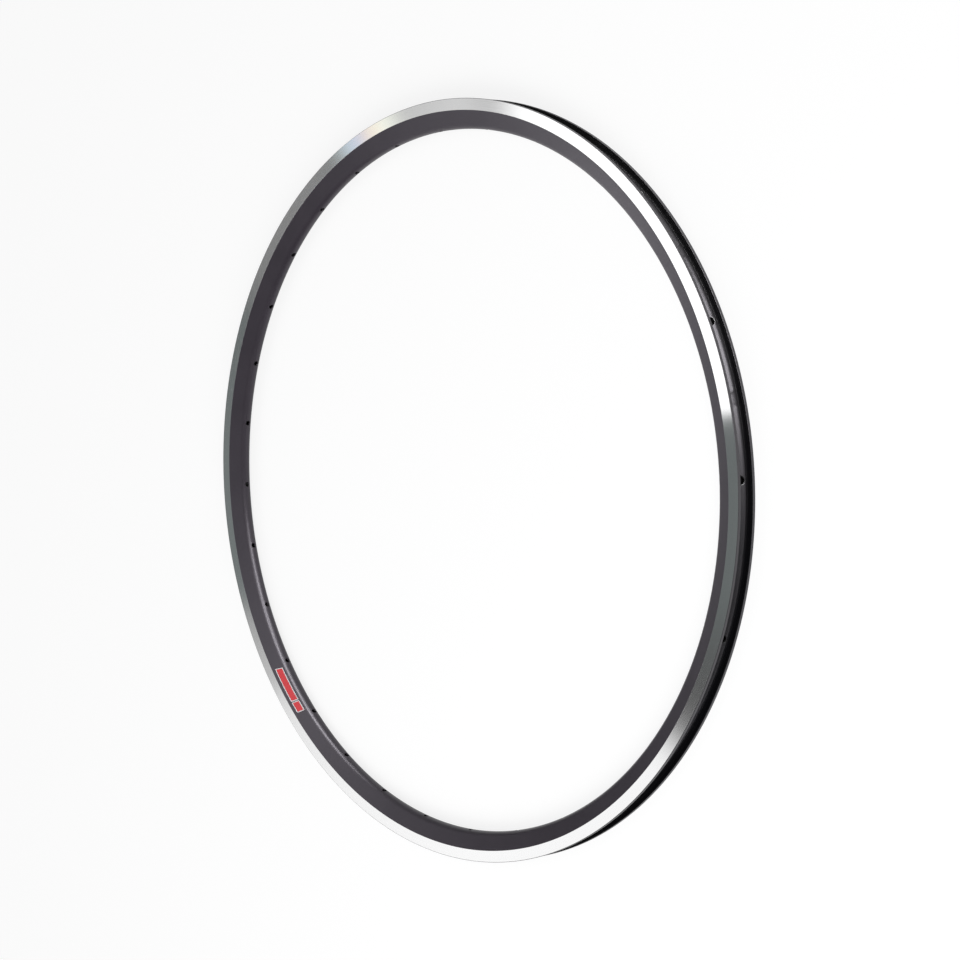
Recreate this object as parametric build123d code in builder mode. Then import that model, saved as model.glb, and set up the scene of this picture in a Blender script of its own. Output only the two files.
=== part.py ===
from build123d import *

import os
from math import asin, atan2, cos, degrees, hypot, radians, sin, tan

# Road bicycle rim for rim brakes, one hollow aluminium extrusion rolled into a hoop.
# The wheel axis is Z, the mid-plane is Z = 0, and the section is drawn as (radius, height) in mm.

# Overall sizes
bead_seat_diameter = 622.0
flange_height = 6.0
rim_depth = 24.5
rim_width = 19.0

# Flanges and brake tracks
inner_width = 15.0
track_height = 9.7
tip_bevel = 0.7
lip_bevel = 0.4
hook_reach = 0.8
hook_height = 1.7

# Tyre bed between the flanges: two bead shelves and a drop-centre well
shelf_width = 2.3
well_width = 3.0
well_depth = 3.0
bridge_wall = 1.2

# Side walls, the rounded nose that carries the spokes, and the hollow's flat floor behind the nose
side_wall = 1.0
track_wall = 1.8
nose_radius = 5.7
nose_wall = 1.9
floor_width = 5.6
floor_bevel = 1.0

# Drillings: each nipple axis starts at the middle of the nose and leans to alternate sides
spoke_count = 32
spoke_hole = 4.3
access_hole = 7.5
nipple_lean = 4.5
valve_hole = 6.5
valve_after_spoke = 4

# Radii and heights that follow from the sizes above
seat_r = bead_seat_diameter / 2
tip_r = seat_r + flange_height
nose_r = tip_r - rim_depth
nose_centre = nose_r + nose_radius
track_r = tip_r - track_height
well_r = seat_r - well_depth
half_width = rim_width / 2
flange_z = inner_width / 2
hook_z = flange_z - hook_reach
hook_r = tip_r - hook_height
shelf_z = flange_z - shelf_width
well_z = well_width / 2
floor_z = floor_width / 2

# The side wall runs from the foot of the brake track to the nose and meets it at a tangent.
wall_rise = track_r - nose_centre
wall_angle = atan2(half_width, wall_rise) - asin(nose_radius / hypot(half_width, wall_rise))
nose_turn = 90 - degrees(wall_angle)

# Inner faces: parallel to the side wall, the brake track and the tyre bed
cavity_r = nose_r + nose_wall
cavity_z = half_width - track_wall
cavity_foot_r = cavity_r + floor_bevel
cavity_foot_z = half_width - (track_r - cavity_foot_r) * tan(wall_angle) - side_wall / cos(wall_angle)
cavity_shoulder_r = cavity_foot_r + (cavity_z - cavity_foot_z) / tan(wall_angle)
well_slope = atan2(well_depth, shelf_z - well_z)
well_shift = bridge_wall * tan(well_slope / 2)

# Angles around the hoop
pitch = 360 / spoke_count
valve_angle = (valve_after_spoke + 0.5) * pitch


# Section of the extrusion: upper half drawn, hollowed and mirrored on the mid-plane
with BuildSketch() as section:
    with BuildLine():
        nose = CenterArc((nose_centre, 0), nose_radius, start_angle=180 - nose_turn, arc_size=nose_turn)
        Polyline(
            nose @ 0,
            (track_r, half_width),
            (tip_r - tip_bevel, half_width),
            (tip_r, half_width - tip_bevel),
            (tip_r, hook_z + lip_bevel),
            (tip_r - lip_bevel, hook_z),
            (hook_r, hook_z),
            (hook_r - hook_reach, flange_z),
            (seat_r, flange_z),
            (seat_r, shelf_z),
            (well_r, well_z),
            (well_r, 0),
            nose @ 1,
        )
    make_face()
    with BuildLine():
        Polyline(
            (cavity_r, 0),
            (cavity_r, floor_z),
            (cavity_foot_r, cavity_foot_z),
            (cavity_shoulder_r, cavity_z),
            (seat_r - bridge_wall, cavity_z),
            (seat_r - bridge_wall, shelf_z + well_shift),
            (well_r - bridge_wall, well_z + well_shift),
            (well_r - bridge_wall, 0),
            close=True,
        )
    make_face(mode=Mode.SUBTRACT)
    mirror(about=Plane.XZ)


def nipple_drill(lean):
    """Stepped drill for one spoke nipple: narrow through the nose, wide through the tyre bed."""
    lean_angle = radians(lean)
    nipple_axis = Plane(
        origin=(nose_r, 0, 0),
        x_dir=(0, 1, 0),
        z_dir=(cos(lean_angle), 0, sin(lean_angle)),
    )
    step = nose_radius
    with BuildPart(nipple_axis) as drill:
        with Locations((0, 0, -step)):
            Cylinder(spoke_hole / 2, 2 * step, align=(Align.CENTER, Align.CENTER, Align.MIN))
        with Locations((0, 0, step)):
            Cylinder(access_hole / 2, rim_depth, align=(Align.CENTER, Align.CENTER, Align.MIN))
    return drill.part


# Rim: the section turned into a full hoop, then drilled for spokes and valve
with BuildPart() as rim:
    with BuildSketch(Plane.XZ):
        add(section.sketch)
    revolve(axis=Axis.Z)
    for first_angle, lean in ((0, -nipple_lean), (pitch, nipple_lean)):
        drill = nipple_drill(lean)
        with PolarLocations(0, spoke_count // 2, start_angle=first_angle):
            add(drill, mode=Mode.SUBTRACT)
    with Locations(Location((0, 0, 0), (0, 0, valve_angle))):
        with Locations(Location((nose_centre, 0, 0), (0, 90, 0))):
            Cylinder(valve_hole / 2, 2 * rim_depth, mode=Mode.SUBTRACT)

rim.part.label = "rim"

os.makedirs("parts", exist_ok=True)
export_step(rim.part, "parts/rim.step")
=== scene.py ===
from math import asin, atan2, cos, hypot, pi, radians, sin, sqrt, tan

import bmesh
import bpy
from mathutils import Matrix, Vector


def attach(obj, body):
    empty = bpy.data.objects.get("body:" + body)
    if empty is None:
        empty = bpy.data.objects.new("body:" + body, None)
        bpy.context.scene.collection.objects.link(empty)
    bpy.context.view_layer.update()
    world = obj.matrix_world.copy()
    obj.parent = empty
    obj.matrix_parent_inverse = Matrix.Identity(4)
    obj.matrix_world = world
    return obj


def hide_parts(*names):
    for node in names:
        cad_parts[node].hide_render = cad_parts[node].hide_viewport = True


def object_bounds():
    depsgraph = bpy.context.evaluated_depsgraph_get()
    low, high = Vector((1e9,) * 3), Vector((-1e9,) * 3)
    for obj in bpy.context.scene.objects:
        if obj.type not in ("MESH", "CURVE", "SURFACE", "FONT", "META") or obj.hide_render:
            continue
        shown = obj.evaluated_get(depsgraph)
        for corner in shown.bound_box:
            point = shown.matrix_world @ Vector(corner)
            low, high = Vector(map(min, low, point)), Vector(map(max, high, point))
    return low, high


# Looks of a road bicycle rim: a fine hoop with true drillings, turned brake tracks, satin and black finishes.
# The section is drawn in millimetres as (radius, height), the hoop and the studio are in metres.

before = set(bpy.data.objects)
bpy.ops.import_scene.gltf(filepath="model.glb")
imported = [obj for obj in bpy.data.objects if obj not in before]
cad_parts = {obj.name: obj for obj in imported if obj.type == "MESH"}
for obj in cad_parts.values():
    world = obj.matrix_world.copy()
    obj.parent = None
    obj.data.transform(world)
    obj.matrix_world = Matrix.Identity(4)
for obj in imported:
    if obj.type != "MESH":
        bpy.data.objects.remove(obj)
cad_low, cad_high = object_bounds()
MM = 0.001

# Flanges, brake tracks and nose
flange_height = 6.0
flange_z = 7.5
track_height = 9.7
hook_reach = 0.8
hook_height = 1.7
rim_depth = 24.5
nose_radius = 5.7

# Tyre bed: a well in the middle and a slope that bends level at each bead shelf
well_depth = 3.0
well_z = 1.5
bed_run = 3.9
bed_bend = 1.0

# Walls and floor of the hollow
nose_wall = 1.9
side_wall = 1.0
track_wall = 1.8
bridge_wall = 1.2
bridge_shift = 0.4
floor_z = 2.8
floor_bevel = 1.0

# Soft edges of the extrusion: how far each rounding reaches along its two faces
track_foot_round = 0.15
tip_round = 0.35
lip_round = 0.4
hook_round = 0.3
seat_round = 0.2

# Drillings
spoke_count = 32
spoke_hole = 4.3
access_hole = 7.5
nipple_lean = radians(4.5)
valve_hole = 6.5
valve_after_spoke = 4
hole_edge = 0.18

# Drilled bands: half the height of the strip of each surface that is woven around the holes
nose_band = 4.4
floor_band = 3.9
well_band = 6.2
bridge_band = 6.6

# Mesh fineness: rows of a half band, columns over a spoke pitch, rows of the nose's flanks and beside a bend
band_rows = 7
window_columns = 3
valve_columns = 1
plain_columns = 5
window_half_angle = radians(1.1)
flank_steps = 4
rows_before_bend = (1.6, 1.15)
row_after_bend = 1.15
ring_gap = 0.2
drill_rounds = 8

# Finishes of the hoop, in the order of its material slots; the flange finish is the channel's black made
# darker and duller as painted shade on the flanges' inner sides
BODY, TRACK, CHANNEL, SHADED_FLANGE, BARE, CAVITY = range(6)

# Colours of the finishes: the darker and the lighter one that each varies between
body_colours = (0.036, 0.030, 0.039, 1), (0.042, 0.035, 0.045, 1)
track_colours = (0.78, 0.78, 0.77, 1), (0.86, 0.86, 0.85, 1)
channel_colours = (0.004, 0.004, 0.005, 1), (0.006, 0.006, 0.007, 1)
# Flange colours: a darker black than the channel's, painted shade on the hooked inner sides of the flanges
flange_shade_colours = (0.003, 0.003, 0.004, 1), (0.005, 0.005, 0.006, 1)
bare_colours = (0.08, 0.08, 0.08, 1), (0.14, 0.14, 0.14, 1)
cavity_colours = (0.012, 0.012, 0.012, 1), (0.024, 0.024, 0.025, 1)
decal_red = (0.80, 0.015, 0.02, 1)
decal_pale = (0.86, 0.85, 0.85, 1)

# Grain: the span that noise keeps to, how turned lines stretch it per metre across and per radian along them
noise_span = (0.3, 0.7)
lines_across = 1000.0
lines_along = 0.6
quarter_turn = 0.25

# Plain decal on the upper side wall: slanted bars as start and end along the rim, from the decal's middle
decal_angle = radians(-141)
decal_r = 300.6
decal_bars = ((-23.5, 11.0), (13.5, 23.5))
decal_half_height = 2.9
decal_slant = 0.4
decal_outline = 0.8

# Camera of the photograph: wheel axis up, picture upright along Y
camera_at = Vector((1.366, 0.057, 1.2285))
camera_aim = Vector((0.0322, -0.0237, 0.0))
camera_up = Vector((-0.005, 0.998, -0.061))
camera_lens = 82.27
camera_sensor = 36.0
camera_shift = (-0.0041, 0.0325)
camera_reach = 100.0

# White table: half its side in metres, its own grey and the glow that makes it white to look at
floor_size = 20.0
floor_grey = (0.20, 0.20, 0.20, 1)
floor_glow = 0.84

# Tints of the studio light
lamp_white = (1.0, 1.0, 1.015)
cool = (0.90, 1.0, 1.01)
leaf = (0.96, 1.0, 0.90)
peach = (1.25, 1.0, 0.75)
violet = (0.92, 0.92, 1.45)
sky = (0.68, 1.0, 1.2)

# Meeting line of the light fields: X and Y of its middle, half its length, and where each zone starts
studio_meeting = (-0.73, -0.045)
studio_half_line = 0.035
studio_near, studio_far = 0.14, 0.28
studio_edge, studio_rest = 0.60, 0.95
rest_level = 0.15

# Light fields as angle in degrees around the meeting line, level and tint, close to it and far from it
near_fields = [
    (-180, 0.21, cool), (-178, 0.36), (-172, 0.45), (-149, 0.62), (-144, 0.82), (-134, 0.97), (-115, 1.08),
    (-90, 1.17), (-53, 1.14), (-46.5, 0.16), (-41, 0.09), (-5, 0.165, cool), (3.7, 0.17, cool), (4.6, 1.6),
    (84, 1.6), (85, 0.52), (90, 0.83), (97, 0.68), (100, 1.34, leaf), (102, 1.0, peach),
    (103.5, 0.70, violet), (104.8, 0.95, sky), (106, 0.70, leaf), (107.3, 0.18), (112, 0.27), (130, 0.24),
    (142, 0.17, cool), (180, 0.21, cool),
]
far_fields = [
    (-180, 0.22), (-168, 2.0), (-152, 3.5), (-135, 1.6), (-115, 0.75), (-79, 0.80), (-56, 0.42), (-17, 0.22),
    (0, 0.60), (18, 1.15), (36, 1.15), (55, 1.0), (78, 0.40), (103, 0.14), (152, 0.05), (169, 0.08),
    (180, 0.22),
]

# Softboxes as azimuth and elevation in degrees, width and height in metres, radiance, and roll in degrees
softbox_distance = 2.0
channel_softbox = (33, 32, 1.07, 0.75, 14.0)
upper_softbox = (83, 48, 1.5, 0.5, 22.0, -22)
side_softbox = (-40, 35, 1.5, 1.5, 3.8)
watts_per_area = 4

# Values that follow from the sizes; the outer radius and the width are the frame's own
tip_r = cad_high.x / MM
half_width = cad_high.z / MM
seat_r = tip_r - flange_height
nose_r = tip_r - rim_depth
track_r = tip_r - track_height
hook_r = tip_r - hook_height
hook_z = flange_z - hook_reach
nose_centre = nose_r + nose_radius
wall_rise = track_r - nose_centre
wall_angle = atan2(half_width, wall_rise) - asin(nose_radius / hypot(half_width, wall_rise))
nose_end = (nose_centre - nose_radius * sin(wall_angle), nose_radius * cos(wall_angle))
cavity_r = nose_r + nose_wall
cavity_z = half_width - track_wall
foot_r = cavity_r + floor_bevel
foot_z = half_width - (track_r - foot_r) * tan(wall_angle) - side_wall / cos(wall_angle)
shoulder_r = foot_r + (cavity_z - foot_z) / tan(wall_angle)
pitch = 2 * pi / spoke_count


def nose_surface(z):
    return nose_centre - sqrt(nose_radius**2 - z**2)


def floor_surface(z):
    rise = (foot_r - cavity_r) / (foot_z - floor_z)
    return cavity_r + max(0.0, abs(z) - floor_z) * rise


def bed_curve(z, start):
    """Rise of the tyre bed: a straight slope out of the well that bends level at the bead shelf."""
    run = min(abs(z) - start, bed_run + bed_bend / 2)
    bend = max(0.0, run - bed_run + bed_bend / 2)
    return well_depth / bed_run * (max(0.0, run) - bend**2 / (2 * bed_bend))


def well_surface(z):
    return seat_r - well_depth + bed_curve(z, well_z)


def bridge_surface(z):
    return seat_r - well_depth - bridge_wall + bed_curve(z, well_z + bridge_shift)


def band(surface, half_band, finish):
    """Rows from the mid-plane to the edge of a drilled band."""
    heights = [half_band * row / band_rows for row in range(band_rows + 1)]
    return [(surface(z), z, finish) for z in heights]


def bent_line(start, bends, end):
    """Rows along straight runs with rounded bends.

    A bend is (corner, reach, steps, finish of its first half, finish from there on).
    """
    rows = []
    corners = [start] + [bend[0] for bend in bends] + [end]
    finish_before = BODY
    for index, (corner, reach, steps, finish_in, finish_after) in enumerate(bends):
        here = Vector(corner)
        back = (Vector(corners[index]) - here).normalized()
        ahead = (Vector(corners[index + 2]) - here).normalized()
        for factor in rows_before_bend:
            rows.append((*(here + back * reach * factor), finish_before))
        for step in range(steps + 1):
            t = step / steps
            point = here + back * reach * (1 - t) ** 2 + ahead * reach * t**2
            rows.append((*point, finish_in if step < steps / 2 else finish_after))
        rows.append((*(here + ahead * reach * row_after_bend), finish_after))
        finish_before = finish_after
    return rows


def outer_half():
    """Upper half of the outer outline, from the nose over the brake track and the tip to the tyre well."""
    rows = band(nose_surface, nose_band, BODY)
    turn_from = asin(nose_band / nose_radius)
    turn_to = pi / 2 - wall_angle
    for step in range(1, flank_steps + 1):
        turn = turn_from + (turn_to - turn_from) * step / flank_steps
        rows.append((nose_centre - nose_radius * cos(turn), nose_radius * sin(turn), BODY))
    bends = [
        ((track_r, half_width), track_foot_round, 3, BODY, TRACK),
        ((tip_r, half_width), tip_round, 6, CHANNEL, CHANNEL),
        # The flange finish on the lip, the hook and the flange's inner side is painted shade
        ((tip_r, hook_z), lip_round, 5, CHANNEL, SHADED_FLANGE),
        ((hook_r, hook_z), hook_round, 3, SHADED_FLANGE, SHADED_FLANGE),
        ((hook_r - hook_reach, flange_z), hook_round, 3, SHADED_FLANGE, SHADED_FLANGE),
        ((seat_r, flange_z), seat_round, 5, SHADED_FLANGE, CHANNEL),
    ]
    rows += bent_line(nose_end, bends, (seat_r, well_band))
    return rows + band(well_surface, well_band, CHANNEL)[::-1]


def cavity_half():
    """Upper half of the hollow's outline, from behind the nose over the side wall to under the tyre well."""
    rows = band(floor_surface, floor_band, CAVITY)
    rows.append((foot_r, foot_z, CAVITY))
    rows.append((shoulder_r, cavity_z, CAVITY))
    rows.append((seat_r - bridge_wall, cavity_z, CAVITY))
    return rows + band(bridge_surface, bridge_band, CAVITY)[::-1]


def whole(half):
    """A half outline closed by its mirror image below the mid-plane; each strip keeps its finish."""
    rows = list(half)
    for index in range(len(half) - 2, 0, -1):
        r, z, _ = half[index]
        rows.append((r, -z, half[index - 1][2]))
    return rows


def column_angles():
    """Angles of the hoop's columns: close together across each spoke hole, wider between the holes."""
    steps = range(-window_columns, window_columns + 1)
    window = [window_half_angle * step / window_columns for step in steps]
    gap = (pitch / 2 - window_half_angle) / plain_columns
    before = [-pitch / 2 + gap * step for step in range(plain_columns)]
    after = [window_half_angle + gap * step for step in range(1, plain_columns)]
    return [hole * pitch + offset for hole in range(spoke_count) for offset in before + window + after]


class Hoop:
    """Points and quads of the rim, with the columns that all its skins share."""

    def __init__(self):
        self.points = []
        self.quads = []
        self.finishes = []
        self.columns = column_angles()

    def point(self, r, angle, z):
        self.points.append((r * cos(angle) * MM, r * sin(angle) * MM, z * MM))
        return len(self.points) - 1

    def strip(self, loop_a, loop_b, finish):
        """Joins two closed loops of points with a ring of quads."""
        for index in range(len(loop_a)):
            after = (index + 1) % len(loop_a)
            self.quads.append((loop_a[index], loop_a[after], loop_b[after], loop_b[index]))
            self.finishes.append(finish)

    def skin(self, rows, windows):
        """Lays one closed skin over the rows and returns the loop of points around each window left in it."""
        count_rows = len(rows)
        count_columns = len(self.columns)
        left_out = set()
        inside = set()
        for row, column, reach in windows:
            for i in range(row - band_rows, row + band_rows):
                for j in range(column - reach, column + reach):
                    left_out.add((i % count_rows, j % count_columns))
                    if i > row - band_rows and j > column - reach:
                        inside.add((i % count_rows, j % count_columns))
        grid = {}
        for i, (r, z, _) in enumerate(rows):
            for j, angle in enumerate(self.columns):
                if (i, j) not in inside:
                    grid[i, j] = self.point(r, angle, z)
        for i in range(count_rows):
            for j in range(count_columns):
                if (i, j) not in left_out:
                    i2, j2 = (i + 1) % count_rows, (j + 1) % count_columns
                    self.quads.append((grid[i, j], grid[i2, j], grid[i2, j2], grid[i, j2]))
                    self.finishes.append(rows[i][2])
        loops = []
        for row, column, reach in windows:
            low, high, first, last = row - band_rows, row + band_rows, column - reach, column + reach
            around = [(i, first) for i in range(low, high)] + [(high, j) for j in range(first, last)]
            around += [(i, last) for i in range(high, low, -1)] + [(low, j) for j in range(last, first, -1)]
            keys = [(i % count_rows, j % count_columns) for i, j in around]
            loops.append([(grid[key], rows[key[0]][1], key[1]) for key in keys])
        return loops


def wrapped(angle):
    """The angle brought between minus and plus half a turn."""
    return (angle + pi) % (2 * pi) - pi


class Drill:
    """One radial drilling: its angle and columns on the hoop, and its lean towards one flange."""

    def __init__(self, angle, column, reach, lean):
        self.angle = angle
        self.column = column
        self.reach = reach
        self.lean = lean

    def at(self, depth, up):
        """Radial place and height at a depth along the drill and a height across it."""
        x = nose_r + depth * cos(self.lean) - up * sin(self.lean)
        return x, depth * sin(self.lean) + up * cos(self.lean)

    def loop(self, surface, radius, turns, sink=0.0):
        """Points where a drill of this radius meets a surface, pushed outwards along the drill by sink."""
        found = []
        for turn in turns:
            across, up = radius * cos(turn), radius * sin(turn)
            depth = surface(0.0) - nose_r
            for _ in range(drill_rounds):
                x, z = self.at(depth, up)
                depth += (surface(z) - hypot(x, across)) / cos(self.lean)
            x, z = self.at(depth + sink, up)
            found.append((hypot(x, across), self.angle + atan2(across, x), z))
        return found

    def patch(self, hoop, window, surface, half_band, radius, finish, edge=0.0, sink=0.0, edge_finish=None):
        """Fills a window around the hole and returns the loop of points where the hole's wall starts."""
        reach_angle = abs(wrapped(hoop.columns[window[0][2]] - self.angle))
        offsets = [wrapped(hoop.columns[column] - self.angle) for _, _, column in window]
        turns = [
            atan2(z / half_band, offset / reach_angle)
            for (_, z, _), offset in zip(window, offsets)
        ]
        rim_loop = self.loop(surface, radius + edge, turns)
        near_loop = self.loop(surface, radius + edge + ring_gap, turns)
        middle = []
        for (_, z, _), offset, (_, near_angle, near_z) in zip(window, offsets, near_loop):
            mid_z = (z + near_z) / 2
            mid_angle = self.angle + (offset + near_angle - self.angle) / 2
            middle.append((surface(mid_z), mid_angle, mid_z))
        loops = [[entry[0] for entry in window]]
        for ring in (middle, near_loop, rim_loop):
            loops.append([hoop.point(*place) for place in ring])
        for loop_a, loop_b in zip(loops, loops[1:]):
            hoop.strip(loop_a, loop_b, finish)
        if not edge:
            return loops[-1]
        wall_loop = [hoop.point(*place) for place in self.loop(surface, radius, turns, sink)]
        hoop.strip(loops[-1], wall_loop, edge_finish)
        return wall_loop


def all_drills():
    """The spoke drillings, leaning to alternate sides, and the valve hole between two of them."""
    per_pitch = 2 * (window_columns + plain_columns)
    drills = []
    for hole in range(spoke_count):
        lean = nipple_lean if hole % 2 else -nipple_lean
        drills.append(Drill(hole * pitch, hole * per_pitch + per_pitch // 2, window_columns, lean))
    valve_angle = (valve_after_spoke + 0.5) * pitch
    drills.append(Drill(valve_angle, (valve_after_spoke + 1) * per_pitch, valve_columns, 0.0))
    return drills


def weave_hoop():
    """Outer skin, hollow, and the walls of every drilling between them."""
    hoop = Hoop()
    drills = all_drills()
    skins = []
    for rows in (whole(outer_half()), whole(cavity_half())):
        windows = [(row, drill.column, drill.reach) for row in (0, len(rows) // 2) for drill in drills]
        loops = hoop.skin(rows, windows)
        skins.append((loops[: len(drills)], loops[len(drills):]))
    (nose_loops, well_loops), (floor_loops, bridge_loops) = skins
    for index, drill in enumerate(drills):
        nose_hole, bed_hole = spoke_hole / 2, access_hole / 2
        if index == spoke_count:
            nose_hole = bed_hole = valve_hole / 2
        nose = drill.patch(
            hoop, nose_loops[index], nose_surface, nose_band, nose_hole, BODY, hole_edge, hole_edge, BODY
        )
        floor = drill.patch(hoop, floor_loops[index], floor_surface, floor_band, nose_hole, CAVITY)
        hoop.strip(nose, floor, BODY)
        well = drill.patch(
            hoop, well_loops[index], well_surface, well_band, bed_hole, CHANNEL, hole_edge, -hole_edge, BARE
        )
        bridge = drill.patch(hoop, bridge_loops[index], bridge_surface, bridge_band, bed_hole, CAVITY)
        hoop.strip(well, bridge, BARE)
    return hoop


def build_rim(materials):
    """The rim as one closed mesh."""
    hoop = weave_hoop()
    mesh = bpy.data.meshes.new("rim_hoop")
    mesh.from_pydata(hoop.points, [], hoop.quads)
    mesh.polygons.foreach_set("material_index", hoop.finishes)
    mesh.polygons.foreach_set("use_smooth", [True] * len(hoop.quads))
    for material in materials:
        mesh.materials.append(material)
    work = bmesh.new()
    work.from_mesh(mesh)
    bmesh.ops.recalc_face_normals(work, faces=work.faces)
    work.to_mesh(mesh)
    work.free()
    piece = bpy.data.objects.new("rim_hoop", mesh)
    bpy.context.collection.objects.link(piece)
    return piece


class Nodes:
    """A node tree, with short ways to add and join nodes."""

    def __init__(self, tree):
        self.tree = tree

    def node(self, kind, **settings):
        made = self.tree.nodes.new(kind)
        for key, value in settings.items():
            setattr(made, key, value)
        return made

    def feed(self, socket, value):
        """Links an output to a socket, or sets the socket to a plain value."""
        if isinstance(value, bpy.types.NodeSocket):
            self.tree.links.new(value, socket)
        else:
            socket.default_value = value

    def math(self, operation, *values):
        made = self.node("ShaderNodeMath", operation=operation)
        for socket, value in zip(made.inputs, values):
            self.feed(socket, value)
        return made.outputs[0]

    def vector(self, operation, *values):
        made = self.node("ShaderNodeVectorMath", operation=operation)
        for socket, value in zip(made.inputs, values):
            self.feed(socket, value)
        return made.outputs["Value" if operation == "LENGTH" else "Vector"]

    def axes(self, place):
        made = self.node("ShaderNodeSeparateXYZ")
        self.feed(made.inputs[0], place)
        return made.outputs

    def mix(self, share, colour_a, colour_b):
        made = self.node("ShaderNodeMix", data_type="RGBA")
        factor, first, second = made.inputs[0], made.inputs[6], made.inputs[7]
        self.feed(factor, share)
        self.feed(first, colour_a)
        self.feed(second, colour_b)
        return made.outputs[2]

    def ranged(self, value, from_low, from_high, to_low=0.0, to_high=1.0):
        """A value taken from one range to another and held inside it."""
        made = self.node("ShaderNodeMapRange")
        self.feed(made.inputs["Value"], value)
        made.inputs["From Min"].default_value = from_low
        made.inputs["From Max"].default_value = from_high
        made.inputs["To Min"].default_value = to_low
        made.inputs["To Max"].default_value = to_high
        return made.outputs["Result"]


class Shader(Nodes):
    """A material with one surface shader."""

    def __init__(self, name):
        self.material = bpy.data.materials.new(name)
        self.material.use_nodes = True
        super().__init__(self.material.node_tree)
        self.base = self.tree.nodes["Principled BSDF"]

    def give(self, name, value):
        """Feeds one of the surface shader's own sockets."""
        self.feed(self.base.inputs[name], value)

    def object_place(self):
        return self.node("ShaderNodeTexCoord").outputs["Object"]

    def polar(self, place):
        """Radius, angle and height of a place on the wheel, in metres and radians."""
        x, y, z = self.axes(place)
        square = self.math("MULTIPLY_ADD", x, x, self.math("MULTIPLY", y, y))
        return self.math("SQRT", square), self.math("ARCTAN2", y, x), z

    def noise(self, place, scale, detail=2.0):
        made = self.node("ShaderNodeTexNoise")
        made.inputs["Scale"].default_value = scale
        made.inputs["Detail"].default_value = detail
        self.feed(made.inputs["Vector"], place)
        return made.outputs["Fac"]

    def patches(self, place, scale):
        """Soft patches that reach from 0 to 1."""
        return self.ranged(self.noise(place, scale), *noise_span)

    def roughness(self, noise, low, high):
        self.give("Roughness", self.ranged(noise, *noise_span, low, high))

    def bump(self, height, distance, strength):
        made = self.node("ShaderNodeBump")
        made.inputs["Distance"].default_value = distance
        made.inputs["Strength"].default_value = strength
        self.feed(made.inputs["Height"], height)
        self.give("Normal", made.outputs["Normal"])

    def drawn_lines(self, strength):
        """Reflections drawn out across lines that run around the wheel."""
        self.give("Anisotropic", strength)
        self.give("Anisotropic Rotation", quarter_turn)
        tangent = self.node("ShaderNodeTangent", direction_type="RADIAL", axis="Z")
        self.give("Tangent", tangent.outputs[0])


def decal_distance(s, place):
    """Distance to the nearest decal bar in metres, below zero inside one; the lower side wall has none."""
    radius, angle, height = s.polar(place)
    across = s.math("SUBTRACT", radius, decal_r * MM)
    along = s.math("MULTIPLY", s.math("SUBTRACT", angle, decal_angle), decal_r * MM)
    along = s.math("MULTIPLY_ADD", across, decal_slant, along)
    beside = s.math("SUBTRACT", s.math("ABSOLUTE", across), decal_half_height * MM)
    nearest = 1.0
    for start, end in decal_bars:
        from_middle = s.math("ABSOLUTE", s.math("SUBTRACT", along, (start + end) / 2 * MM))
        bar = s.math("MAXIMUM", s.math("SUBTRACT", from_middle, (end - start) / 2 * MM), beside)
        nearest = s.math("MINIMUM", nearest, bar)
    return s.math("MAXIMUM", nearest, s.math("MULTIPLY", height, -1.0))


def body_material():
    """Dark satin anodised body with a fine blasted grain and a plain decal."""
    s = Shader("satin_body")
    place = s.object_place()
    colour = s.mix(s.patches(place, scale=35.0), *body_colours)
    distance = decal_distance(s, place)
    colour = s.mix(s.math("LESS_THAN", distance, decal_outline * MM), colour, decal_pale)
    colour = s.mix(s.math("LESS_THAN", distance, 0.0), colour, decal_red)
    s.give("Base Color", colour)
    grain = s.noise(place, scale=2600.0, detail=1.0)
    s.roughness(grain, low=0.33, high=0.39)
    s.bump(grain, distance=0.00002, strength=0.2)
    s.give("IOR", 1.5)
    s.give("Specular Tint", (0.96, 0.92, 1.0, 1))
    s.drawn_lines(0.6)
    return s.material


def track_material():
    """Bare aluminium turned on a lathe: fine rings that draw reflections out along the radius."""
    s = Shader("turned_track")
    radius, angle, height = s.polar(s.object_place())
    ring = s.node("ShaderNodeCombineXYZ")
    s.feed(ring.inputs[0], s.math("MULTIPLY", radius, lines_across))
    s.feed(ring.inputs[1], s.math("MULTIPLY", angle, lines_along))
    s.feed(ring.inputs[2], height)
    lines = s.noise(ring.outputs[0], scale=3.2, detail=3.0)
    s.give("Base Color", s.mix(lines, *track_colours))
    s.roughness(lines, low=0.065, high=0.085)
    s.bump(lines, distance=0.00001, strength=0.1)
    s.give("Metallic", 1.0)
    s.drawn_lines(1.0)
    return s.material


def channel_material():
    """Black tyre bed and flange tips, with a soft lilac shine."""
    s = Shader("black_channel")
    place = s.object_place()
    s.give("Base Color", s.mix(s.patches(place, scale=60.0), *channel_colours))
    grain = s.noise(place, scale=1800.0, detail=1.0)
    s.roughness(grain, low=0.38, high=0.46)
    s.bump(grain, distance=0.00001, strength=0.2)
    s.give("IOR", 1.75)
    s.give("Specular Tint", (0.97, 0.93, 1.0, 1))
    return s.material


def shaded_flange_material():
    """Black of the hooked inner sides of the flanges, made darker and less reflective than the channel's
    black as painted shade.
    """
    s = Shader("black_flange_painted_shade")
    grain = s.noise(s.object_place(), scale=1800.0, detail=1.0)
    s.give("Base Color", s.mix(grain, *flange_shade_colours))
    s.roughness(grain, low=0.30, high=0.36)
    s.bump(grain, distance=0.00001, strength=0.2)
    # Weaker reflection here is painted shade on the flanges' inner sides
    s.give("Specular IOR Level", 0.25)
    return s.material


def bare_material():
    """Freshly drilled metal on the walls and edges of the access holes."""
    s = Shader("drilled_edge")
    swirl = s.noise(s.object_place(), scale=900.0)
    s.give("Base Color", s.mix(swirl, *bare_colours))
    s.roughness(swirl, low=0.30, high=0.45)
    s.give("Metallic", 1.0)
    return s.material


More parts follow.
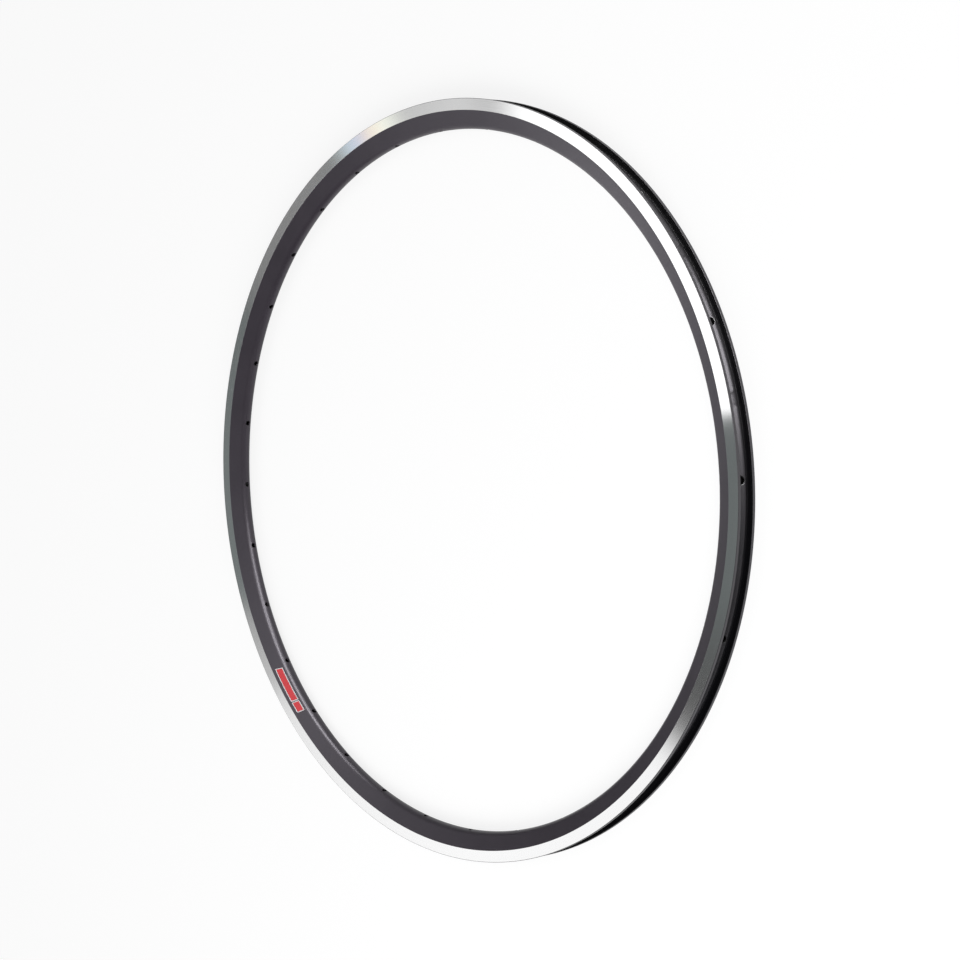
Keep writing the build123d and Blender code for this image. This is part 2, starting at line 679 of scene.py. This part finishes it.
def cavity_material():
    """Dull dark metal inside the hollow extrusion."""
    s = Shader("dark_hollow")
    cloud = s.noise(s.object_place(), scale=120.0)
    s.give("Base Color", s.mix(cloud, *cavity_colours))
    s.give("Roughness", 0.6)
    return s.material


def floor_material():
    """White table: a pale surface that takes the shadow, bright for what looks at it."""
    s = Shader("white_table")
    s.give("Base Color", floor_grey)
    s.give("Roughness", 0.9)
    s.give("Specular IOR Level", 0.0)
    path = s.node("ShaderNodeLightPath")
    seen = s.math("MAXIMUM", path.outputs["Is Camera Ray"], path.outputs["Is Glossy Ray"])
    seen = s.math("MAXIMUM", seen, path.outputs["Is Transmission Ray"])
    s.give("Emission Color", (1, 1, 1, 1))
    s.give("Emission Strength", s.math("MULTIPLY", seen, floor_glow))
    return s.material


def build_floor():
    mesh = bpy.data.meshes.new("floor")
    signs = ((-1, -1), (1, -1), (1, 1), (-1, 1))
    corners = [(x * floor_size, y * floor_size, cad_low.z) for x, y in signs]
    mesh.from_pydata(corners, [], [(0, 1, 2, 3)])
    mesh.materials.append(floor_material())
    floor = bpy.data.objects.new("floor", mesh)
    bpy.context.collection.objects.link(floor)


def build_camera():
    data = bpy.data.cameras.new("camera")
    data.sensor_width = camera_sensor
    data.lens = camera_lens
    data.shift_x, data.shift_y = camera_shift
    data.clip_end = camera_reach
    back = (camera_at - camera_aim).normalized()
    right = camera_up.cross(back).normalized()
    up = back.cross(right)
    camera = bpy.data.objects.new("camera", data)
    turn = Matrix((right, up, back)).transposed().to_4x4()
    camera.matrix_world = Matrix.Translation(camera_at) @ turn
    bpy.context.collection.objects.link(camera)
    bpy.context.scene.camera = camera


def light_ring(n, share, fields):
    """Colour of the light fields around their meeting line, from a share of one turn."""
    ramp = n.node("ShaderNodeValToRGB")
    n.feed(ramp.inputs["Fac"], share)
    stops = ramp.color_ramp.elements
    stops.remove(stops[1])
    for index, (angle, level, *tint) in enumerate(fields):
        position = (angle + 180) / 360
        stop = stops[0] if index == 0 else stops.new(position)
        stop.position = position
        red, green, blue = tint[0] if tint else lamp_white
        stop.color = (level * red, level * green, level * blue, 1)
    return ramp.outputs["Color"]


def build_world():
    """Studio around the rim: bright and dim fields that meet behind it, where the brake track looks."""
    world = bpy.data.worlds.new("studio")
    world.use_nodes = True
    n = Nodes(world.node_tree)
    place = n.node("ShaderNodeTexCoord").outputs["Generated"]
    flat = n.vector("MULTIPLY", n.vector("SUBTRACT", place, (*studio_meeting, 0.0)), (1, 1, 0))
    on_line = n.vector("MINIMUM", flat, (0, studio_half_line, 0))
    on_line = n.vector("MAXIMUM", on_line, (0, -studio_half_line, 0))
    from_line = n.vector("SUBTRACT", flat, on_line)
    x, y, _ = n.axes(from_line)
    share = n.ranged(n.math("ARCTAN2", y, x), -pi, pi)
    reach = n.vector("LENGTH", from_line)
    near, far = light_ring(n, share, near_fields), light_ring(n, share, far_fields)
    fields = n.mix(n.ranged(reach, studio_near, studio_far), near, far)
    rest = (rest_level, rest_level, rest_level, 1)
    studio = n.mix(n.ranged(reach, studio_edge, studio_rest), fields, rest)
    n.feed(n.tree.nodes["Background"].inputs["Color"], studio)
    bpy.context.scene.world = world


def build_softbox(name, azimuth, elevation, width, height, radiance, roll=0):
    data = bpy.data.lights.new(name, "AREA")
    data.shape = "RECTANGLE"
    data.size, data.size_y = width, height
    data.energy = watts_per_area * width * height * radiance
    softbox = bpy.data.objects.new(name, data)
    turn, rise = radians(azimuth), radians(elevation)
    towards = Vector((cos(rise) * cos(turn), cos(rise) * sin(turn), sin(rise)))
    softbox.location = towards * softbox_distance
    facing = towards.to_track_quat("Z", "Y").to_matrix() @ Matrix.Rotation(radians(roll), 3, "Z")
    softbox.rotation_euler = facing.to_euler()
    softbox.visible_camera = False
    bpy.context.collection.objects.link(softbox)
    return softbox


hoop_materials = [
    body_material(),
    track_material(),
    channel_material(),
    shaded_flange_material(),
    bare_material(),
    cavity_material(),
]
rim = build_rim(hoop_materials)
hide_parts("rim")
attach(rim, "root")

build_floor()
build_camera()
build_world()
build_softbox("channel_softbox", *channel_softbox).visible_diffuse = False
build_softbox("upper_softbox", *upper_softbox).visible_diffuse = False
build_softbox("side_softbox", *side_softbox).visible_glossy = False

scene = bpy.context.scene
scene.view_settings.view_transform = "Standard"
